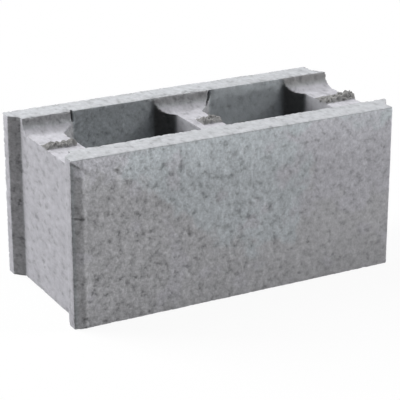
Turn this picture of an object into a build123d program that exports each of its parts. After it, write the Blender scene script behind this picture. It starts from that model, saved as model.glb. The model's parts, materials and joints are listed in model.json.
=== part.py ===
from build123d import *
from math import radians, tan
import os

# A hollow concrete shuttering block: two long face shells, three cross webs and two open cores.
# It is cast in one piece and stands as it is laid, with its lowered web tops up.
# X runs along the block, from the grooved end to the tongued end, and Y across it.
# The origin is under the middle of the block, on its bed face.

# Driving dimensions of the whole block, in millimetres
face_length = 500.0
block_width = 240.0
block_height = 240.0
corner_radius = 2.0

# End joint: a groove between two lips at one end takes the tongue of the next block
groove_depth = 14.0
lip_width = 21.0
flank_width = 14.0
joint_clearance = 1.0

# Lip bevel: a shallow slope down the outer face of each lip, stopped short of the top
bevel_depth = 4.0
bevel_stop_at_end = 2.0
bevel_stop_at_face = 14.0

# Shells, webs and cores, measured at the top; the cores narrow downwards for demoulding
shell_thickness = 41.0
end_web_thickness = 51.0
middle_web_thickness = 41.0
core_corner = 26.0
core_edge_radius = 8.0
core_draft = 0.5

# Saddle: the channel over the lowered webs, with leaning sides and a hollow curve at their feet
saddle_depth = 21.0
saddle_lean = 10.0
saddle_corner_radius = 18.0

# Ridges: the rough strip left on each web, steep at the front, at its own place across the block.
# A gap is the bare stretch between a ridge's end and the core beside it.
ridge_front_run = 3.0
grooved_end_ridge_y = 5.0
grooved_end_ridge_width = 26.0
grooved_end_ridge_height = 5.0
grooved_end_ridge_gap = 6.0
middle_ridge_y = 5.0
middle_ridge_width = 30.0
middle_ridge_height = 5.0
middle_ridge_gap = 11.0
tongued_end_ridge_y = 12.0
tongued_end_ridge_width = 34.0
tongued_end_ridge_height = 7.0

# How far a cut runs past the face that it opens
overrun = 5.0

# Places that follow from the dimensions above
tongue_length = groove_depth - joint_clearance
lip_end_x = -(face_length + tongue_length) / 2
groove_x = lip_end_x + groove_depth
shoulder_x = lip_end_x + face_length
tongue_x = shoulder_x + tongue_length
face_y = block_width / 2
lip_y = face_y - lip_width
groove_floor_y = lip_y - flank_width
shoulder_y = lip_y - joint_clearance
tongue_y = groove_floor_y - joint_clearance
shell_y = face_y - shell_thickness
web_run = tongue_x - groove_x
core_length = (web_run - 2 * end_web_thickness - middle_web_thickness) / 2
core_width = 2 * shell_y
web_middle_x = (groove_x + tongue_x) / 2
core_offset = (middle_web_thickness + core_length) / 2
saddle_z = block_height - saddle_depth


def block_outline():
    """Plan of the block: lips and groove at one end, shoulders and tongue at the other."""
    front = [
        (groove_x, -groove_floor_y),
        (lip_end_x, -lip_y),
        (lip_end_x, -face_y),
        (shoulder_x, -face_y),
        (shoulder_x, -shoulder_y),
        (tongue_x, -tongue_y),
    ]
    back = [(x, -y) for x, y in reversed(front)]
    face = make_face(Polyline(*front, *back, close=True))
    return fillet(face.vertices(), corner_radius)


def core(middle_x):
    """One core: a box with its corners cut off, drafted so that the walls thicken downwards."""
    plan = Rectangle(core_length, core_width)
    plan = chamfer(plan.vertices(), core_corner)
    plan = fillet(plan.vertices(), core_edge_radius)
    top = Plane(origin=(middle_x, 0, block_height), z_dir=(0, 0, -1))
    body = extrude(top * plan, block_height, taper=core_draft)
    collar = extrude(Pos(middle_x, 0, block_height) * plan, overrun)
    return body + collar


def saddle():
    """The channel that lowers all three webs, with a hollow curve at the foot of each shell."""
    lean = tan(radians(saddle_lean))
    floor_y = shell_y - saddle_depth * lean
    mouth_y = shell_y + overrun * lean
    section = Polyline(
        (-floor_y, saddle_z),
        (floor_y, saddle_z),
        (mouth_y, block_height + overrun),
        (-mouth_y, block_height + overrun),
        close=True,
    )
    section = Plane.YZ * make_face(section)
    foot = section.vertices().group_by(Axis.Z)[0]
    section = fillet(foot, saddle_corner_radius)
    return extrude(section, block_width + face_length, both=True)


def web_ridge(start_x, end_x, middle_y, width, height):
    """A raised strip along one web, with a steep front and a long slope at its back."""
    section = Polyline(
        (middle_y - width / 2, saddle_z - height),
        (middle_y + width / 2, saddle_z - height),
        (middle_y + width / 2, saddle_z),
        (middle_y, saddle_z + height),
        (middle_y - width / 2 + ridge_front_run, saddle_z + height),
        (middle_y - width / 2, saddle_z),
        close=True,
    )
    return extrude(Plane.YZ.offset(start_x) * make_face(section), end_x - start_x)


def lip_bevel():
    """The wedge cut off the outer face of the front lip, under its sloping stop."""
    plan = Polyline(
        (groove_x, -face_y),
        (lip_end_x, -face_y + bevel_depth),
        (lip_end_x - overrun, -face_y + bevel_depth),
        (lip_end_x - overrun, -face_y - overrun),
        (groove_x, -face_y - overrun),
        close=True,
    )
    wedge = extrude(Pos(0, 0, -overrun) * make_face(plan), block_height + overrun)
    slope = (bevel_stop_at_face - bevel_stop_at_end) / groove_depth
    reach = overrun + bevel_depth
    side = Polyline(
        (lip_end_x - overrun, -overrun),
        (groove_x, -overrun),
        (groove_x, block_height - bevel_stop_at_face),
        (lip_end_x - overrun, block_height - bevel_stop_at_end + slope * overrun),
        close=True,
    )
    keep = extrude(Plane.XZ.offset(face_y) * make_face(side), reach, both=True)
    return wedge & keep


block = extrude(block_outline(), block_height)
block = block - saddle()
block = block + web_ridge(
    groove_x, groove_x + end_web_thickness - grooved_end_ridge_gap,
    grooved_end_ridge_y, grooved_end_ridge_width, grooved_end_ridge_height)
block = block + web_ridge(
    web_middle_x - middle_web_thickness / 2 + middle_ridge_gap,
    web_middle_x + middle_web_thickness / 2 + overrun,
    middle_ridge_y, middle_ridge_width, middle_ridge_height)
block = block + web_ridge(
    tongue_x - end_web_thickness - overrun, tongue_x,
    tongued_end_ridge_y, tongued_end_ridge_width, tongued_end_ridge_height)
for side in (-1, 1):
    block = block - core(web_middle_x + side * core_offset)
front_bevel = lip_bevel()
block = block - front_bevel - mirror(front_bevel, about=Plane.XZ)

os.makedirs("parts", exist_ok=True)
export_step(block, "parts/block.step")
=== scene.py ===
"""The looks of a hollow concrete shuttering block, laid out as a Blender add-on."""
import json
import math
import random

import bmesh
import bpy
import numpy as np
from bpy.props import FloatProperty, FloatVectorProperty, IntProperty, PointerProperty
from bpy.types import Operator, Panel, PropertyGroup
from mathutils import Matrix, Vector, noise
from mathutils.bvhtree import BVHTree
from mathutils.kdtree import KDTree


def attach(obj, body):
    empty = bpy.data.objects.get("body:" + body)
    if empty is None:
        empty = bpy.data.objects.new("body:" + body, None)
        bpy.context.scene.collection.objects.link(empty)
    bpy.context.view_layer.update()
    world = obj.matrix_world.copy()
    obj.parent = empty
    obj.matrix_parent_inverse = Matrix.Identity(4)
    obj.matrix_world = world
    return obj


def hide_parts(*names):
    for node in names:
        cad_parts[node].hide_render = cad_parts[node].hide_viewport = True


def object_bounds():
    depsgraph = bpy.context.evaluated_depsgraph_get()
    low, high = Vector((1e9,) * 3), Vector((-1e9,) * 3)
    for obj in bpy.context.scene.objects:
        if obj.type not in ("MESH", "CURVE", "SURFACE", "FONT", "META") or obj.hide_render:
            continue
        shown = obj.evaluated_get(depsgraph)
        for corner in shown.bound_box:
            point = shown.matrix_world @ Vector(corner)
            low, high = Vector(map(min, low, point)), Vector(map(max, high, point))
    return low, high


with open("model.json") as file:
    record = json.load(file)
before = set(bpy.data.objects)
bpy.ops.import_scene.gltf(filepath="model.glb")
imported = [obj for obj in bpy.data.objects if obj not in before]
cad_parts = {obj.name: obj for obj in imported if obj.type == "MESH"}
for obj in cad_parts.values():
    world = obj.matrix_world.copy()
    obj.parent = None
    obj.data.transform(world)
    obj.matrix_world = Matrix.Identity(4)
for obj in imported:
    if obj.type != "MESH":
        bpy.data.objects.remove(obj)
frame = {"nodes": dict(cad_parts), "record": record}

bl_info = {
    "name": "Concrete shuttering block",
    "version": (1, 0, 0),
    "blender": (4, 5, 0),
    "location": "3D View > Sidebar > Block",
    "description": "Casts the surface of a hollow concrete block over its packed frame",
    "category": "Object",
}

NODE = "block"
BODY = "root"
MM = 0.001
CAD_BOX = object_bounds()
BED = CAD_BOX[0].z
TOP = CAD_BOX[1].z
FACE = CAD_BOX[1].y
OPENINGS = {opening["name"]: opening["box_m"] for opening in frame["record"]["physics"]["openings"]}
GROOVED_CORE = OPENINGS["grooved_side_core_lengthwise"]
TONGUED_CORE = OPENINGS["tongued_side_core_lengthwise"]
CHANNEL_SIDE = OPENINGS["saddle_channel"][1][1]
GROOVE_FLOOR = OPENINGS["end_groove"][1][0]
TONGUE_END = CAD_BOX[1].x
# How far the rough strips on the webs reach to either side of the block's middle.
RIDGE_REACH = 40 * MM
# How open the texture of the two ends is, where 1 is fully open.
END_GRAIN = 0.6
PIT_SEED = 4
CRUMB_SEED = 40
# Offsets that keep the noise of each feature apart from that of the others.
NOISE_OFFSETS = {
    "waves": 0.0, "grain": 5.0, "chips": 11.0, "small_chips": 13.0, "ragged_pits": 17.0,
    "ridge_rise": 23.0, "ridge_sway": 31.0, "ridge_size": 41.0, "pale_top_band": 51.0,
    "colour_limits": 61.0, "burr": 71.0, "mauve_spots": 83.0, "broken_arris": 91.0,
}
# How strongly the corner tint paints shade on each shaded part of the block.
SHADE = {"webs": 0.18, "saddle_sides": 0.4, "ridges": 0.2, "joints": 0.1, "foot": 0.08}
# How strongly painted shade darkens the gaps between the lumps of the rough strips, and the slits.
GAP_SHADE = 1.4
SLIT_SHADE = 1.7
# Spacing of the patches of paste, and how far their limits stray.
PATCH_LENGTH = 42 * MM
PATCH_STRAY = 48 * MM
# The largest pits of the front face: place along it, height and radius, in millimetres.
FRONT_PITS = (
    (-28, 106, 5), (-180, 54, 5), (-208, 158, 5), (-87, 111, 5), (-130, 160, 4), (-206, 119, 4),
    (-87, 194, 4), (-126, 76, 4), (30, 29, 4), (-174, 84, 3), (98, 95, 3), (145, 174, 3),
)
# Where the cool cloud of paste ends on the long faces: place along them in millimetres, and share of
# their height.
CLOUD_FOOT = ((-240, 0.97), (-170, 0.83), (-90, 0.54), (40, 0.22), (80, 0.26), (135, 0.92))


class CastingRelief(PropertyGroup):
    """Sizes of the relief that the mould, the tamper and handling left on the concrete."""

    mesh_step: FloatProperty(
        name="Mesh step", description="Size of the cells that the surface is cast in",
        default=1.6 * MM, unit="LENGTH")
    triangle_limit: IntProperty(
        name="Triangles", description="How many triangles the cast surface keeps", default=190000)
    crease: FloatProperty(
        name="Crease", description="Edges that turn by more than this are shaded as sharp",
        default=math.radians(60), subtype="ANGLE")
    wave_height: FloatProperty(
        name="Wave height", description="How far the faces swell and dip",
        default=0.35 * MM, unit="LENGTH")
    wave_length: FloatProperty(
        name="Wave length", description="Spacing of those swells", default=48 * MM, unit="LENGTH")
    grain_height: FloatProperty(
        name="Grain height", description="How far single grains stand out",
        default=0.36 * MM, unit="LENGTH")
    grain_length: FloatProperty(
        name="Grain length", description="Spacing of the grains", default=9 * MM, unit="LENGTH")
    edge_reach: FloatProperty(
        name="Edge reach", description="How far wear reaches in from an edge",
        default=5 * MM, unit="LENGTH")
    edge_wear: FloatProperty(
        name="Edge wear", description="Depth that every edge has lost", default=0.6 * MM, unit="LENGTH")
    chip_depth: FloatProperty(
        name="Chip depth", description="Depth of the deepest chips along an edge",
        default=2.6 * MM, unit="LENGTH")
    chip_length: FloatProperty(
        name="Chip length", description="Spacing of the chips along an edge",
        default=13 * MM, unit="LENGTH")
    burr_height: FloatProperty(
        name="Burr height", description="Height of the burr beside the bevel of each lip",
        default=0.5 * MM, unit="LENGTH")
    burr_width: FloatProperty(
        name="Burr width", description="Width of that burr", default=5 * MM, unit="LENGTH")
    pit_count: IntProperty(
        name="Pits", description="How many places are tried for air pits", default=850)
    pit_radius: FloatProperty(
        name="Pit radius", description="Radius of the largest pits", default=4.4 * MM, unit="LENGTH")
    lump_length: FloatProperty(
        name="Lump length", description="Spacing of the lumps in the rough strip on a web",
        default=7.5 * MM, unit="LENGTH")
    ridge_roughness: FloatProperty(
        name="Ridge roughness", description="How far the lumps themselves rise and fall",
        default=1.5 * MM, unit="LENGTH")
    crumb_count: IntProperty(
        name="Crumbs", description="How many grains are tried over one web; those on its strip stay",
        default=120)
    crumb_radius: FloatProperty(
        name="Crumb radius", description="Radius of the largest crumbs", default=3.5 * MM, unit="LENGTH")
    slit_width: FloatProperty(
        name="Slit width", description="Half the width of the back shell's slits and of the lip's nick",
        default=2.0 * MM, unit="LENGTH")
    slit_depth: FloatProperty(
        name="Slit depth", description="Depth of the deepest of them", default=13 * MM, unit="LENGTH")


class ConcreteFinish(PropertyGroup):
    """Colours of the concrete, and the tints that paint shade into it."""

    cool_paste: FloatVectorProperty(
        name="Cool paste", description="Cement paste in the cooler, paler cloud", subtype="COLOR",
        default=(0.500, 0.530, 0.555))
    sandy_paste: FloatVectorProperty(
        name="Sandy paste", description="Warmer, darker cement paste, most of it low on the long faces",
        subtype="COLOR", default=(0.473, 0.472, 0.489))
    mauve_paste: FloatVectorProperty(
        name="Mauve paste", description="Cement paste on the ends, the saddle and in some patches",
        subtype="COLOR", default=(0.506, 0.502, 0.537))
    # Painted shade: this tint darkens the faces inside the cores and on the saddle's upper sides.
    inner_shade_tint: FloatVectorProperty(
        name="Inner tint", description="Tint of the open-textured faces inside the block", subtype="COLOR",
        default=(0.85, 0.855, 0.85))
    # Painted shade: this tint darkens the deeply shaded core corners, and in part other shaded faces.
    painted_shade_tint: FloatVectorProperty(
        name="Corner tint", description="Tint of the darkest core corners, and in part of shaded faces",
        subtype="COLOR", default=(0.18, 0.175, 0.17))
    # Painted shade: this colour darkens the recesses, such as pits, chips, slits and the gaps between
    # lumps.
    recess_shade_colour: FloatVectorProperty(
        name="Dark grain", description="Dark sand and open pores", subtype="COLOR",
        default=(0.22, 0.22, 0.225))
    rough_paste: FloatVectorProperty(
        name="Rough paste", description="Uncompacted concrete of the ridges", subtype="COLOR",
        default=(0.295, 0.292, 0.284))
    # Lifts the paste into a paler band along the top of the front face.
    pale_top_band: FloatVectorProperty(
        name="Bloom", description="Tint of the pale band along the top of the front face",
        subtype="COLOR", soft_max=2.0, default=(1.31, 1.32, 1.32))


class PhotoStage(PropertyGroup):
    """Floor, lamps and camera."""

    azimuth: FloatProperty(
        name="Azimuth", description="Camera's turn from the front towards the grooved end",
        default=math.radians(28.25), subtype="ANGLE")
    elevation: FloatProperty(
        name="Elevation", description="Camera's height above the horizon",
        default=math.radians(20.42), subtype="ANGLE")
    distance: FloatProperty(
        name="Distance", description="From the camera to its target", default=2.35, unit="LENGTH")
    target: FloatVectorProperty(
        name="Target", description="Point that the camera looks at", subtype="XYZ", unit="LENGTH",
        default=(-0.0037, 0.0, 0.1030))
    lens: FloatProperty(
        name="Lens", description="Focal length in millimetres on a 36 mm sensor", default=146.4)
    floor_size: FloatProperty(
        name="Floor", description="Side of the floor", default=12.0, unit="LENGTH")
    key_power: FloatProperty(
        name="Key", description="Power of the soft lamp at the back left", default=150.0, subtype="POWER")
    high_power: FloatProperty(
        name="High", description="Power of the lamp above it", default=28.0, subtype="POWER")
    top_power: FloatProperty(
        name="Top", description="Power of the lamp overhead", default=24.0, subtype="POWER")
    card_power: FloatProperty(
        name="Card", description="Power of the low light at the front right",
        default=191.0, subtype="POWER")
    side_power: FloatProperty(
        name="Side", description="Power of the light that looks in over the front shell",
        default=165.0, subtype="POWER")
    ambient: FloatProperty(
        name="Ambient", description="Strength of the light from all round", default=0.01)


def grey(level):
    """A grey, as the colour of a socket."""
    return (level, level, level, 1.0)


class NodeBoard:
    """A material's or world's node tree, with short calls to add and join nodes."""

    def __init__(self, tree):
        self.tree = tree
        tree.nodes.clear()

    def add(self, kind, inputs=None, **values):
        """Adds a node, sets its properties, and sets or links its inputs."""
        node = self.tree.nodes.new(kind)
        for name, value in values.items():
            setattr(node, name, value)
        for name, value in (inputs or {}).items():
            if isinstance(value, bpy.types.NodeSocket):
                self.tree.links.new(value, node.inputs[name])
            else:
                node.inputs[name].default_value = value
        return node

    def ramp(self, factor, stops):
        """A colour ramp through (position, grey level) stops."""
        node = self.add("ShaderNodeValToRGB", {"Fac": factor})
        elements = node.color_ramp.elements
        while len(elements) < len(stops):
            elements.new(1.0)
        for element, (position, level) in zip(elements, stops):
            element.position = position
            element.color = grey(level)
        return node.outputs["Color"]

    def range(self, value, low, high, to_low=0.0, to_high=1.0):
        """A value stretched from one range to another, and clamped."""
        node = self.add("ShaderNodeMapRange", {
            "Value": value, "From Min": low, "From Max": high, "To Min": to_low, "To Max": to_high})
        return node.outputs["Result"]

    def math(self, operation, first, second):
        """One sum."""
        return self.add("ShaderNodeMath", {0: first, 1: second}, operation=operation).outputs[0]

    def mix(self, factor, first, second, blend="MIX"):
        """Two colours mixed."""
        node = self.tree.nodes.new("ShaderNodeMix")
        node.data_type = "RGBA"
        node.blend_type = blend
        for index, value in ((0, factor), (6, first), (7, second)):
            if isinstance(value, bpy.types.NodeSocket):
                self.tree.links.new(value, node.inputs[index])
            else:
                node.inputs[index].default_value = (*value, 1.0) if index else value
        return node.outputs[2]

    def tint(self, factor, colour, tint):
        """A colour multiplied by another, as far as a factor says."""
        return self.mix(factor, colour, self.mix(1.0, colour, tint, "MULTIPLY"))


def concrete_material():
    """Grey concrete: clouded paste, dark specks, rough strips, and painted shade in pits, on inner faces
    and in corners.
    """
    finish = bpy.context.scene.concrete_finish
    material = bpy.data.materials.new("block_concrete")
    material.use_nodes = True
    board = NodeBoard(material.node_tree)
    place = board.add("ShaderNodeTexCoord").outputs["Object"]
    stretch = {0: place, 1: (1.0, 0.6, 1.0)}
    place = board.add("ShaderNodeVectorMath", stretch, operation="MULTIPLY").outputs[0]

    def noise_at(scale, detail):
        """Noise with so many cells in a metre."""
        values = {"Vector": place, "Scale": scale, "Detail": detail, "Roughness": 0.55}
        return board.add("ShaderNodeTexNoise", values).outputs["Fac"]

    def painted(name):
        """What the mesh keeps at each point under a name."""
        return board.add("ShaderNodeAttribute", attribute_name=name).outputs["Fac"]

    areas = noise_at(7.0, 2.0)
    clouds = noise_at(55.0, 4.0)
    specks = noise_at(108.0, 2.5)
    sand = noise_at(250.0, 2.0)
    open_grain = painted("open_grain")
    grain = board.math("MULTIPLY", open_grain, board.range(areas, 0.35, 0.6, 1.0, 0.82))
    off_ends = board.range(open_grain, END_GRAIN, END_GRAIN + 0.06, 0.4, 1.0)
    fine = board.math("MULTIPLY", grain, off_ends)

    paste = board.mix(painted("cool"), finish.sandy_paste, finish.cool_paste)
    paste = board.mix(painted("mauve"), paste, finish.mauve_paste)
    # Painted shade on the faces inside the cores and on the saddle's upper sides.
    paste = board.tint(painted("inner"), paste, finish.inner_shade_tint)
    # Painted shade in the shaded core corners and, in part, on other shaded faces.
    paste = board.tint(painted("corner"), paste, finish.painted_shade_tint)
    paste = board.mix(painted("rough"), paste, finish.rough_paste)
    # A paler band along the top of the front face.
    paste = board.tint(painted("pale_top_band"), paste, finish.pale_top_band)
    cloud_tone = board.ramp(clouds, [(0.25, 0.89), (0.5, 1.0), (0.75, 1.08)])
    speck_tone = board.ramp(specks, [(0.25, 0.39), (0.43, 0.94), (0.72, 1.17)])
    sand_tone = board.ramp(sand, [(0.25, 0.74), (0.5, 1.0), (0.75, 1.24)])
    colour = board.tint(grain, paste, cloud_tone)
    colour = board.tint(grain, colour, speck_tone)
    colour = board.tint(fine, colour, sand_tone)
    # Painted shade in the recesses: pits, chips, slits and the gaps between lumps.
    pores = board.math("MULTIPLY", painted("recess_shade"), 0.42)
    colour = board.mix(pores, colour, finish.recess_shade_colour)

    height = board.math("MULTIPLY", clouds, 1.6)
    height = board.math("ADD", height, board.math("MULTIPLY", specks, 1.6))
    height = board.math("ADD", height, board.math("MULTIPLY", sand, 0.5))
    strength = board.range(grain, 0.3, 1.0, 0.15, 0.5)
    bump = board.add("ShaderNodeBump", {"Strength": strength, "Distance": 1.0 * MM, "Height": height})
    shader = board.add("ShaderNodeBsdfPrincipled", {
        "Base Color": colour, "Roughness": 0.95, "Specular IOR Level": 0.2,
        "Normal": bump.outputs["Normal"]})
    board.add("ShaderNodeOutputMaterial", {"Surface": shader.outputs["BSDF"]})
    return material


def welded_casting():
    """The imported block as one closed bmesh."""
    casting = bmesh.new()
    casting.from_mesh(frame["nodes"][NODE].data)
    bmesh.ops.remove_doubles(casting, verts=casting.verts, dist=0.01 * MM)
    return casting


def put_in_scene(name, data):
    """A new object that holds a mesh, a lamp or a camera."""
    piece = bpy.data.objects.new(name, data)
    bpy.context.scene.collection.objects.link(piece)
    return piece


def apply_modifiers(piece):
    """Replaces an object's mesh by what its modifiers make of it."""
    bpy.context.view_layer.update()
    shaped = piece.evaluated_get(bpy.context.evaluated_depsgraph_get())
    made = bpy.data.meshes.new_from_object(shaped)
    old = piece.data
    piece.modifiers.clear()
    piece.data = made
    bpy.data.meshes.remove(old)


def vectors_of(points, name):
    """One vector for each point of a mesh, such as its place or its normal."""
    values = np.empty(len(points) * 3, dtype=np.float32)
    points.foreach_get(name, values)
    return values.reshape(-1, 3).astype(float)


def paint(mesh, name, values):
    """Keeps one number for each point of a mesh, for the material to read."""
    layer = mesh.attributes.new(name, "FLOAT", "POINT")
    layer.data.foreach_set("value", values.astype(np.float32))


def fractal(places, spacing, octaves, feature):
    """Smooth noise between about -1 and 1 at each place, the feature's own."""
    offset = NOISE_OFFSETS[feature]
    shift = np.array((offset, offset * 0.7, -offset))
    return np.array([noise.fractal(place, 1.0, 2.0, octaves) for place in places / spacing + shift])


def smooth_step(values, low, high):
    """0 below low, 1 above high, and smooth between."""
    share = np.clip((values - low) / (high - low), 0.0, 1.0)
    return share * share * (3.0 - 2.0 * share)


def tree_of(points):
    """A search tree over points."""
    tree = KDTree(len(points))
    for index, point in enumerate(points):
        tree.insert(point, index)
    tree.balance()
    return tree


def sharp_edge_points(casting, spacing):
    """Points along the outward corners of the block, from which wear spreads."""
    points = []
    bluntest = math.radians(25)
    for edge in casting.edges:
        if not edge.is_convex or edge.calc_face_angle() < bluntest:
            continue
        first, last = (corner.co for corner in edge.verts)
        steps = max(1, round((last - first).length / spacing))
        points.extend(first.lerp(last, step / steps) for step in range(steps + 1))
    return points


def saddle_floor(casting):
    """Height of the webs' smooth tops, found by looking down on the middle web."""
    web = (GROOVED_CORE[1][0] + TONGUED_CORE[0][0]) / 2
    above = Vector((web, CHANNEL_SIDE * 0.6, 2 * TOP))
    return BVHTree.FromBMesh(casting).ray_cast(above, Vector((0, 0, -1)))[0].z


def upright_share(normals):
    """1 on upright faces and 0 on level ones."""
    return 1.0 - smooth_step(np.abs(normals[:, 2]), 0.4, 0.8)


def core_share(places):
    """1 for the places that lie in or on the wall of a core, seen from above."""
    share = np.zeros(len(places))
    wall_margin = 5 * MM
    corner_margin = 8.5 * MM
    for low, high in (GROOVED_CORE, TONGUED_CORE):
        half = (high[0] - low[0]) / 2
        along = np.abs(places[:, 0] - low[0] - half)
        across = np.abs(places[:, 1])
        in_corner = along + across < half + high[1] + corner_margin
        share[(along < half + wall_margin) & (across < half) & in_corner] = 1.0
    return share


def saddle_side_share(places, normals, floor):
    """How far each place belongs to the upper sides of the saddle, over the webs."""
    inside_shells = np.abs(places[:, 1]) < FACE - 36 * MM
    steep = np.abs(normals[:, 1]) > 0.6
    high = smooth_step(places[:, 2], floor + 2 * MM, floor + 14 * MM)
    return (inside_shells & steep) * high * (1.0 - core_share(places))


def inner_shade_share(places, normals, sides):
    """How far each place takes the inner tint's painted shade: the walls of a core or the upper sides of
    the saddle.
    """
    pale_corners = 0.4 * corner_share(places, normals)
    share = np.maximum(core_share(places) * upright_share(normals), sides)
    share *= 1.0 - smooth_step(places[:, 2], TOP - 2.5 * MM, TOP - 0.5 * MM)
    return share * (1.0 - pale_corners)


def slant_share(along, across):
    """How far a face slants between looking along the block and across it."""
    return smooth_step(np.minimum(along, across), 0.35, 0.6)


def corner_share(places, normals):
    """How far each place belongs to the cut-off core corners which face the tongued end; they take less
    painted shade and stay paler.
    """
    return core_share(places) * slant_share(normals[:, 0], np.abs(normals[:, 1]))


def shaded_corner(places):
    """How far each place lies in the deep shade of the core corners that face the grooved end."""
    share = np.zeros(len(places))
    middle_y = CHANNEL_SIDE - 8.5 * MM
    for core in (GROOVED_CORE, TONGUED_CORE):
        middle_x = core[1][0] - 9.5 * MM
        away = np.hypot(places[:, 0] - middle_x, np.abs(places[:, 1]) - middle_y)
        share = np.maximum(share, 1.0 - smooth_step(away, 13 * MM, 24 * MM))
    return share * core_share(places)


def web_share(places, normals):
    """How far each place belongs to the core walls that face the grooved end."""
    return core_share(places) * smooth_step(-normals[:, 0], 0.85, 0.97)


def joint_share(places, normals):
    """How far each place belongs to the slanted faces of the groove and the tongue."""
    at_end = smooth_step(np.abs(places[:, 0]), -GROOVE_FLOOR - 1 * MM, -GROOVE_FLOOR)
    return at_end * slant_share(np.abs(normals[:, 0]), np.abs(normals[:, 1]))


def long_face_share(places, normals):
    """1 on the two long faces."""
    return smooth_step(np.abs(places[:, 1]), FACE - 4 * MM, FACE - 2 * MM) * upright_share(normals)


def cool_share(places, normals, sides, shift):
    """How far each place has the cool paste and not the sandy one; less far on level faces."""
    along, foot = np.array(CLOUD_FOOT).T
    limit = BED + (TOP - BED) * np.interp(places[:, 0], along * MM, foot)
    cloud = smooth_step(places[:, 2] + shift - limit, -12 * MM, 12 * MM)
    under_cloud = long_face_share(places, normals) * (1.0 - cloud)
    sandy = np.maximum(under_cloud, joint_share(places, normals))
    sandy = np.maximum(sandy, np.maximum(sides, corner_share(places, normals)))
    return (1.0 - sandy) * (0.4 + 0.6 * upright_share(normals))


def mauve_share(places, normals, floor, shift):
    """How far each place has the mauve paste: the ends, the saddle, and patches of the long faces."""
    ends = smooth_step(np.abs(normals[:, 0]), 0.8, 0.95)
    in_saddle = (np.abs(places[:, 1]) < CHANNEL_SIDE) & (places[:, 2] > floor - 2 * MM)
    saddle = in_saddle * (1.0 - smooth_step(places[:, 2], floor + 3 * MM, floor + 12 * MM))
    along, _, rise = places.T
    level = rise + shift - BED
    tongued_patch = smooth_step(along + 0.4 * rise + 1.6 * shift, 130 * MM, 170 * MM)
    tongued_patch *= smooth_step(level, 100 * MM, 130 * MM)
    tongued_patch *= 1.0 - smooth_step(level, 225 * MM, 240 * MM)
    grooved_patch = 1.0 - smooth_step(along + shift, -195 * MM, -165 * MM)
    grooved_patch *= smooth_step(level, 195 * MM, 215 * MM)
    spots = 0.7 * smooth_step(fractal(places, PATCH_LENGTH, 4, "mauve_spots"), 0.3, 0.5)
    patches = np.maximum(np.maximum(tongued_patch, grooved_patch), spots)
    return np.maximum(np.maximum(ends, saddle), long_face_share(places, normals) * patches)


def grain_share(places, normals, inner):
    """How open the texture is: full on the long faces near the grooved end, less elsewhere."""
    upright = upright_share(normals)
    ends = smooth_step(np.abs(normals[:, 0]), 0.85, 0.97)
    opener = 0.2 * upright * (1.0 - smooth_step(places[:, 0], -150 * MM, -60 * MM))
    denser = 0.18 * upright * smooth_step(places[:, 0], -50 * MM, 200 * MM)
    faces = 0.62 + 0.22 * upright + opener - denser
    return np.where(ends > 0.5, END_GRAIN, faces) * (1.0 - 0.25 * inner)


def pale_top_band_share(places, normals):
    """How far each place belongs to the pale band along the top of the front face."""
    level = places[:, 2] + 12 * MM * fractal(places, 40 * MM, 3, "pale_top_band")
    front = (places[:, 1] < 0.0) * long_face_share(places, normals)
    return front * smooth_step(level, TOP - 75 * MM, TOP + 5 * MM)


def foot_share(places, normals):
    """How far each place belongs to the long faces' foot, whose painted shade grows towards the tongued
    end.
    """
    low = 1.0 - smooth_step(places[:, 2], BED + 5 * MM, BED + 80 * MM)
    low *= 0.3 + 1.5 * smooth_step(places[:, 0], -50 * MM, 200 * MM)
    return long_face_share(places, normals) * low


def ridge_share(places, floor):
    """How far each place belongs to the rough strip on a web."""
    inside = 1.0 - smooth_step(np.abs(places[:, 1]), RIDGE_REACH, RIDGE_REACH + 6 * MM)
    return inside * smooth_step(places[:, 2], floor + 0.2 * MM, floor + 1.5 * MM)


def tongued_share(places):
    """How far each place lies towards the tongued end, where the saddle's sides are painted darker as
    shade, in part with the rough paste.
    """
    return smooth_step(places[:, 0], -120 * MM, 230 * MM)


def shade_share(places, normals, sides, rough):
    """How far each place takes the corner tint, which paints shade."""
    share = np.maximum(shaded_corner(places), SHADE["webs"] * web_share(places, normals))
    share += (SHADE["saddle_sides"] * sides + SHADE["ridges"] * rough) * tongued_share(places)
    share += SHADE["joints"] * joint_share(places, normals)
    return share + SHADE["foot"] * foot_share(places, normals)


def broken_arris(places):
    """How far each place lies in the broken stretches of the back shell's inner top edge, darkened as
    shade.
    """
    along, across, rise = places.T
    edge = CHANNEL_SIDE + 4.5 * MM
    near = 1.0 - smooth_step(across, edge + 2 * MM, edge + 16 * MM)
    near *= smooth_step(rise, TOP - 16 * MM, TOP - 5 * MM) * (across > 0.0)
    middle = smooth_step(along, -55 * MM, -15 * MM) * (1.0 - smooth_step(along, 45 * MM, 65 * MM))
    by_webs = 0.3 + 0.7 * np.maximum(middle, smooth_step(along, 175 * MM, 205 * MM))
    return near * by_webs * smooth_step(fractal(places, 8 * MM, 3, "broken_arris"), -0.15, 0.5)


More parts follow.
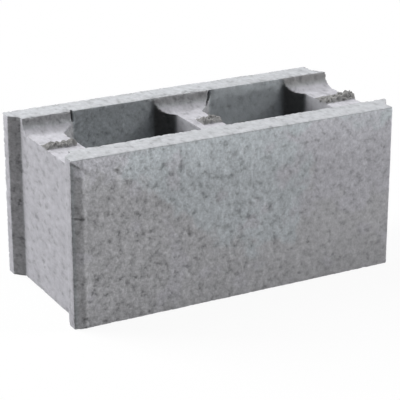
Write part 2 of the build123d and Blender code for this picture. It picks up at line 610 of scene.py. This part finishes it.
def edge_wear(places, casting, relief):
    """Depth that wear takes off each place, and how far the place lies in a chip, which is darkened as
    shade.
    """
    corners = tree_of(sharp_edge_points(casting, spacing=2 * MM))
    near = np.array([corners.find(place)[2] for place in places])
    fade = np.clip(1.0 - near / relief.edge_reach, 0.0, 1.0) ** 2
    chips = smooth_step(fractal(places, relief.chip_length, 4, "chips"), 0.25, 1.1)
    chips += 0.5 * smooth_step(fractal(places, 5 * MM, 2, "small_chips"), 0.1, 0.9)
    above_bed = smooth_step(places[:, 2], BED + 4 * MM, BED + 14 * MM)
    chips *= 0.35 + 0.65 * above_bed
    inner_arris = (np.abs(places[:, 1]) < FACE - 30 * MM) & (places[:, 2] > TOP - 6 * MM)
    chips = np.where(inner_arris, np.minimum(chips * 2.2, 1.2), chips)
    broken = broken_arris(places)
    worn = fade * (relief.edge_wear + relief.chip_depth * chips) + 0.3 * relief.chip_depth * broken
    chip_shade = np.minimum(fade * chips * 1.6, 1.0)
    return worn, np.maximum(chip_shade, 1.7 * broken)


def lip_burr(places, relief):
    """Height of the broken burr that the mould left where a lip's bevel meets the long face."""
    line = GROOVE_FLOOR + 0.5 * MM
    across = np.abs(places[:, 0] - line - relief.burr_width / 2) / (relief.burr_width / 2)
    outside = (np.abs(places[:, 1]) > FACE - 1 * MM) & (across < 1.0)
    broken = np.clip(0.6 + 0.9 * fractal(places, 11 * MM, 3, "burr"), 0.0, 1.0)
    return relief.burr_height * outside * broken * (1.0 - np.minimum(across, 1.0) ** 2)


def carve_slits(places, relief):
    """Cuts the slits in the back shell's inner side and the front lip's nick; returns where they are."""
    inner_wall = np.abs(places[:, 1] - CHANNEL_SIDE) < 9 * MM
    front_lip = places[:, 1] < 5 * MM - FACE
    # Each cut runs through points: place along the block, height, both in millimetres, and share of depth.
    cuts = (
        (inner_wall, [(-166, 240, 1.0), (-166.5, 226, 0.8)]),
        (inner_wall, [(54, 238, 0.7), (53, 229, 1.0), (45, 219, 0.3)]),
        (front_lip, [(-256, 159, 0.1), (-250, 158, 0.3), (-242, 157, 0.15)]),
    )
    slit = np.zeros(len(places))
    for near_wall, line in cuts:
        points = [(along * MM, rise * MM, share) for along, rise, share in line]
        for (first_x, first_z, first_share), (last_x, last_z, last_share) in zip(points, points[1:]):
            run = np.array((last_x - first_x, last_z - first_z))
            start = places[:, (0, 2)] - (first_x, first_z)
            share = np.clip(start @ run / (run @ run), 0.0, 1.0)
            distance = np.linalg.norm(start - share[:, None] * run, axis=1)
            deep = first_share + share * (last_share - first_share)
            cut = deep * np.clip(1.5 * (1.0 - distance / relief.slit_width), 0.0, 1.0)
            slit = np.maximum(slit, near_wall * cut)
    places[:, 1] += relief.slit_depth * slit
    return slit


def chosen_radius(largest, rarity, chooser):
    """A chance radius up to the largest; the higher the rarity, the fewer are large."""
    return largest * (0.35 + 0.65 * chooser.random() ** rarity)


def carve_pits(places, normals, depth, open_grain, relief, chooser):
    """Presses ragged air pits into the surface, and returns where they are."""
    recess_shade = np.zeros(len(places))
    ragged = 0.6 * fractal(places, 3.0 * MM, 2, "ragged_pits")
    tree = tree_of(places)
    pits = []
    for along, rise, radius in FRONT_PITS:
        pits.append((tree.find((along * MM, -FACE, rise * MM))[1], radius * MM))
    for _ in range(relief.pit_count):
        centre = chooser.randrange(len(places))
        if chooser.random() < open_grain[centre]:
            pits.append((centre, chosen_radius(relief.pit_radius, 2.5, chooser)))
    for centre, radius in pits:
        deepest = radius * chooser.uniform(0.06, 0.18)
        stretch = chooser.uniform(0.0, 0.75)
        turn = chooser.uniform(0.0, math.tau)
        axis = np.cross(normals[centre], (math.cos(turn), 0.3, math.sin(turn)))
        axis /= np.linalg.norm(axis)
        for _, index, distance in tree.find_range(places[centre], radius * 2.0):
            if normals[index] @ normals[centre] < 0.5:
                continue
            along = (places[index] - places[centre]) @ axis
            reach = math.sqrt(max(distance ** 2 - stretch * along ** 2, 0.0)) / radius + ragged[index]
            if reach < 1.0:
                share = 1.0 - max(reach, 0.0) ** 2
                depth[index] -= deepest * share
                recess_shade[index] = max(recess_shade[index], share)
    return recess_shade


def shape_ridges(places, rough, floor, relief):
    """Breaks the plain strips on the webs into crumbly lumps, and returns where the gaps are."""
    chosen = np.flatnonzero(rough > 0.0)
    strip = places[chosen]
    gaps = []
    for place in strip / relief.lump_length:
        near = noise.voronoi(Vector(place))[0]
        gaps.append(near[1] - near[0])
    solid = smooth_step(np.array(gaps), 0.0, 0.45)
    from_groove = smooth_step(strip[:, 0], GROOVE_FLOOR, GROOVE_FLOOR + 14 * MM)
    last_web = TONGUED_CORE[1][0]
    to_tongue = smooth_step(strip[:, 0], last_web + 20 * MM, TONGUE_END - 8 * MM)
    lump = 0.60 + 0.65 * solid
    lump *= 0.5 + 0.7 * from_groove
    lump *= 1.0 + 0.45 * fractal(strip, 2.2 * relief.lump_length, 2, "ridge_size")
    lump *= np.where(strip[:, 0] > last_web, 0.6 + 0.35 * to_tongue, 1.0)
    share = rough[chosen]
    rise = share * relief.ridge_roughness
    uneven = rise * fractal(strip, 6 * MM, 3, "ridge_rise")
    strip[:, 2] += share * (strip[:, 2] - floor) * (lump - 1.0) + uneven
    strip[:, 1] += 1.2 * rise * fractal(strip, 8 * MM, 3, "ridge_sway")
    places[chosen] = strip
    dark = np.zeros(len(places))
    dark[chosen] = share * (1.0 - solid)
    return dark


class BLOCK_OT_cast_surface(Operator):
    """Casts the block's surface with its worn edges, pits and rough strips"""

    bl_idname = "block.cast_surface"
    bl_label = "Cast the surface"

    def execute(self, context):
        relief = context.scene.casting_relief
        casting = welded_casting()
        mesh = bpy.data.meshes.new("cast_block")
        casting.to_mesh(mesh)
        block = put_in_scene("cast_block", mesh)
        cells = block.modifiers.new("cells", "REMESH")
        cells.mode = "SHARP"
        cells.octree_depth = 9
        cells.scale = (TONGUE_END - CAD_BOX[0].x) / (2 ** cells.octree_depth * relief.mesh_step)
        cells.use_remove_disconnected = False
        apply_modifiers(block)
        self.shape(block.data, casting, relief)
        casting.free()
        count = sum(len(face.vertices) - 2 for face in block.data.polygons)
        thin = block.modifiers.new("thin", "DECIMATE")
        thin.ratio = min(1.0, relief.triangle_limit / count)
        apply_modifiers(block)
        block.data.shade_smooth()
        block.data.set_sharp_from_angle(angle=relief.crease)
        block.data.materials.clear()
        block.data.materials.append(concrete_material())
        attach(block, BODY)
        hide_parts(NODE)
        return {"FINISHED"}

    def shape(self, mesh, casting, relief):
        """Moves the points of the finely divided block, and paints what the material reads on them."""
        places = vectors_of(mesh.vertices, "co")
        normals = vectors_of(mesh.vertex_normals, "vector")
        floor = saddle_floor(casting)
        rough = ridge_share(places, floor)
        sides = saddle_side_share(places, normals, floor)
        inner = inner_shade_share(places, normals, sides)
        open_grain = grain_share(places, normals, inner)
        ragged_limits = PATCH_STRAY * fractal(places, PATCH_LENGTH, 5, "colour_limits")
        # Besides the ridges, the saddle's upper sides towards the tongued end take the dark rough paste as
        # painted shade.
        paint(mesh, "rough", np.maximum(rough, 0.5 * sides * tongued_share(places)))
        # The inner attribute carries painted shade for the faces inside the cores and the saddle's upper
        # sides.
        paint(mesh, "inner", inner)
        # The corner attribute carries the corner tint's painted shade.
        paint(mesh, "corner", shade_share(places, normals, sides, rough))
        paint(mesh, "cool", cool_share(places, normals, sides, ragged_limits))
        paint(mesh, "mauve", mauve_share(places, normals, floor, ragged_limits))
        paint(mesh, "open_grain", open_grain)
        # A paler band along the top of the front face.
        paint(mesh, "pale_top_band", pale_top_band_share(places, normals))
        worn, chip_shade = edge_wear(places, casting, relief)
        depth = relief.wave_height * fractal(places, relief.wave_length, 3, "waves")
        depth += open_grain * relief.grain_height * fractal(places, relief.grain_length, 3, "grain")
        depth += lip_burr(places, relief) - worn
        recess_shade = carve_pits(places, normals, depth, open_grain, relief, random.Random(PIT_SEED))
        slit = carve_slits(places, relief)
        places += normals * depth[:, None]
        gaps = shape_ridges(places, rough, floor, relief)
        places[:, 2] = np.maximum(places[:, 2], BED)
        mesh.vertices.foreach_set("co", places.astype(np.float32).ravel())
        # Painted shade in pits, chips, the broken edge, the gaps between lumps and the slits.
        recess_shade = np.maximum(np.maximum(recess_shade, chip_shade), GAP_SHADE * gaps)
        paint(mesh, "recess_shade", recess_shade + SLIT_SHADE * np.minimum(3.0 * slit, 1.0))
        mesh.update()


class BLOCK_OT_scatter_crumbs(Operator):
    """Scatters the loose grains of the untamped strips over the webs"""

    bl_idname = "block.scatter_crumbs"
    bl_label = "Scatter the crumbs"

    def execute(self, context):
        casting = welded_casting()
        floor = saddle_floor(casting)
        casting.free()
        ground = BVHTree.FromObject(bpy.data.objects["cast_block"], context.evaluated_depsgraph_get())
        webs = {
            "grooved_end": (GROOVE_FLOOR, GROOVED_CORE[0][0]),
            "middle": (GROOVED_CORE[1][0], TONGUED_CORE[0][0]),
            "tongued_end": (TONGUED_CORE[1][0], TONGUE_END),
        }
        for number, (place, span) in enumerate(webs.items()):
            self.web_crumbs(place, span, floor, ground, random.Random(CRUMB_SEED + number))
        return {"FINISHED"}

    def web_crumbs(self, place, span, floor, ground, chooser):
        """The crumbs of one web, joined in one mesh."""
        relief = bpy.context.scene.casting_relief
        lowest = floor + 1.5 * MM
        highest = floor + 14 * MM
        heap = bmesh.new()
        for _ in range(relief.crumb_count):
            radius = chosen_radius(relief.crumb_radius, 1.6, chooser)
            along = chooser.uniform(span[0] + radius, span[1] - radius)
            across = chooser.uniform(-RIDGE_REACH, RIDGE_REACH)
            hit = ground.ray_cast(Vector((along, across, 2 * TOP)), Vector((0, 0, -1)))[0]
            if hit is None or not lowest <= hit.z <= highest:
                continue
            sunk = chooser.uniform(0.65, 1.05) * radius
            self.crumb(heap, hit - Vector((0, 0, sunk)), radius, chooser)
        mesh = bpy.data.meshes.new("web_crumbs_" + place)
        heap.to_mesh(mesh)
        heap.free()
        mesh.shade_smooth()
        paint(mesh, "rough", np.ones(len(mesh.vertices)))
        paint(mesh, "open_grain", np.ones(len(mesh.vertices)))
        crumbs = put_in_scene(mesh.name, mesh)
        crumbs.data.materials.append(bpy.data.materials["block_concrete"])
        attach(crumbs, BODY)

    def crumb(self, heap, middle, radius, chooser):
        """One angular grain."""
        seed = Vector([chooser.uniform(-50, 50) for _ in range(3)])
        turn = Matrix.Rotation(chooser.uniform(0, math.tau), 3, chooser.choice("XYZ"))
        limits = ((0.8, 1.3), (0.7, 1.1), (0.6, 0.9))
        stretch = Vector([chooser.uniform(low, high) for low, high in limits])
        made = bmesh.ops.create_icosphere(heap, subdivisions=2, radius=1.0)
        for corner in made["verts"]:
            lump = 1.0 + 0.35 * noise.noise(corner.co * 1.3 + seed)
            corner.co = middle + turn @ (corner.co * stretch * lump) * radius


def seen_directly(board):
    """1 for what the eye sees, straight or through gloss and glass, and 0 for light on its way."""
    path = board.add("ShaderNodeLightPath")
    seen = board.math("MAXIMUM", path.outputs["Is Camera Ray"], path.outputs["Is Glossy Ray"])
    return board.math("MAXIMUM", seen, path.outputs["Is Transmission Ray"])


def floor_material():
    """A pale floor: white to the eye with the block's soft shadow, and mid grey for bounced light."""
    material = bpy.data.materials.new("stage_floor")
    material.use_nodes = True
    board = NodeBoard(material.node_tree)
    place = board.add("ShaderNodeTexCoord").outputs["Object"]
    far = board.add("ShaderNodeVectorMath", {0: place}, operation="LENGTH").outputs["Value"]
    # The shadow is faint under the block and fades out between these two distances from its middle.
    veil = board.range(far, 0.25, 0.85, 0.92, 1.0)
    bounce = board.add("ShaderNodeBsdfDiffuse", {"Color": grey(0.43)})
    lit = board.add("ShaderNodeBsdfDiffuse", {"Color": grey(0.85)})
    white = board.add("ShaderNodeEmission", {"Color": grey(1.0), "Strength": 1.0})
    shown = board.add("ShaderNodeMixShader", {0: veil, 1: lit.outputs[0], 2: white.outputs[0]})
    choice = {0: seen_directly(board), 1: bounce.outputs[0], 2: shown.outputs[0]}
    mixed = board.add("ShaderNodeMixShader", choice)
    board.add("ShaderNodeOutputMaterial", {"Surface": mixed.outputs[0]})
    return material


def white_world(strength):
    """White to the eye, and a weaker even light on the block."""
    world = bpy.data.worlds.new("stage_world")
    world.use_nodes = True
    board = NodeBoard(world.node_tree)
    level = board.range(seen_directly(board), 0.0, 1.0, strength, 1.0)
    light = board.add("ShaderNodeBackground", {"Color": grey(1.0), "Strength": level})
    board.add("ShaderNodeOutputWorld", {"Surface": light.outputs[0]})
    bpy.context.scene.world = world


def aim(thing, place, target):
    """Puts a lamp or camera at a place and points it at a target."""
    thing.location = place
    thing.rotation_euler = (Vector(target) - Vector(place)).to_track_quat("-Z", "Y").to_euler()


def soft_lamp(name, turn, rise, distance, size, power):
    """A lamp in the direction of two angles from the block's middle, unseen by the camera."""
    middle = Vector((0.0, 0.0, (BED + TOP) / 2))
    turn, rise = math.radians(turn), math.radians(rise)
    way = Vector((math.cos(turn) * math.cos(rise), math.sin(turn) * math.cos(rise), math.sin(rise)))
    lamp = bpy.data.lights.new(name, "AREA")
    lamp.shape = "RECTANGLE"
    lamp.size, lamp.size_y = size
    lamp.energy = power
    holder = put_in_scene(name, lamp)
    holder.visible_camera = False
    aim(holder, middle + distance * way, middle)


class BLOCK_OT_set_stage(Operator):
    """Makes the floor, the lamps, the world and the camera"""

    bl_idname = "block.set_stage"
    bl_label = "Set the stage"

    def execute(self, context):
        stage = context.scene.photo_stage
        half = stage.floor_size / 2
        corners = [(-half, -half, 0), (half, -half, 0), (half, half, 0), (-half, half, 0)]
        mesh = bpy.data.meshes.new("stage_floor")
        mesh.from_pydata(corners, [], [(0, 1, 2, 3)])
        floor = put_in_scene("stage_floor", mesh)
        floor.location.z = BED - 0.5 * MM
        floor.data.materials.append(floor_material())
        # Each lamp's name, turn and rise in degrees, distance, width and height in metres, and power.
        lamps = (
            ("key_lamp", 135, 30, 4.0, (2.1, 2.1), stage.key_power),
            ("high_lamp", 130, 61, 3.0, (1.6, 1.6), stage.high_power),
            ("top_lamp", 135, 85, 3.0, (2.0, 2.0), stage.top_power),
            ("front_card", 326, 0.25, 7.0, (2.5, 0.3), stage.card_power),
            ("side_lamp", 342, 28, 5.2, (2.6, 2.0), stage.side_power),
        )
        for lamp in lamps:
            soft_lamp(*lamp)
        white_world(stage.ambient)
        self.set_camera(stage)
        context.scene.view_settings.view_transform = "Standard"
        return {"FINISHED"}

    def set_camera(self, stage):
        """The camera at the photograph's angle."""
        lens = bpy.data.cameras.new("photo_camera")
        lens.sensor_width = 36.0
        lens.lens = stage.lens
        camera = put_in_scene("photo_camera", lens)
        level = math.cos(stage.elevation)
        back = Vector((-math.sin(stage.azimuth) * level, -math.cos(stage.azimuth) * level,
                       math.sin(stage.elevation)))
        aim(camera, Vector(stage.target) + back * stage.distance, stage.target)
        bpy.context.scene.camera = camera


class BLOCK_PT_sidebar(Panel):
    """Lists the steps that make the block"""

    bl_idname = "BLOCK_PT_sidebar"
    bl_label = "Concrete block"
    bl_space_type = "VIEW_3D"
    bl_region_type = "UI"
    bl_category = "Block"

    def draw(self, context):
        for step in STEPS:
            self.layout.operator(step.bl_idname)


STEPS = (BLOCK_OT_cast_surface, BLOCK_OT_scatter_crumbs, BLOCK_OT_set_stage)
GROUPS = {"casting_relief": CastingRelief, "concrete_finish": ConcreteFinish, "photo_stage": PhotoStage}


def register():
    """Adds the settings, the steps and the sidebar to Blender."""
    for group in GROUPS.values():
        bpy.utils.register_class(group)
    for name, group in GROUPS.items():
        setattr(bpy.types.Scene, name, PointerProperty(type=group))
    for step in (*STEPS, BLOCK_PT_sidebar):
        bpy.utils.register_class(step)


def unregister():
    """Takes them out again."""
    for step in (BLOCK_PT_sidebar, *reversed(STEPS)):
        bpy.utils.unregister_class(step)
    for name, group in GROUPS.items():
        delattr(bpy.types.Scene, name)
        bpy.utils.unregister_class(group)


def main():
    """Makes the block and its stage."""
    register()
    bpy.ops.block.cast_surface()
    bpy.ops.block.scatter_crumbs()
    bpy.ops.block.set_stage()


if __name__ == "__main__":
    main()
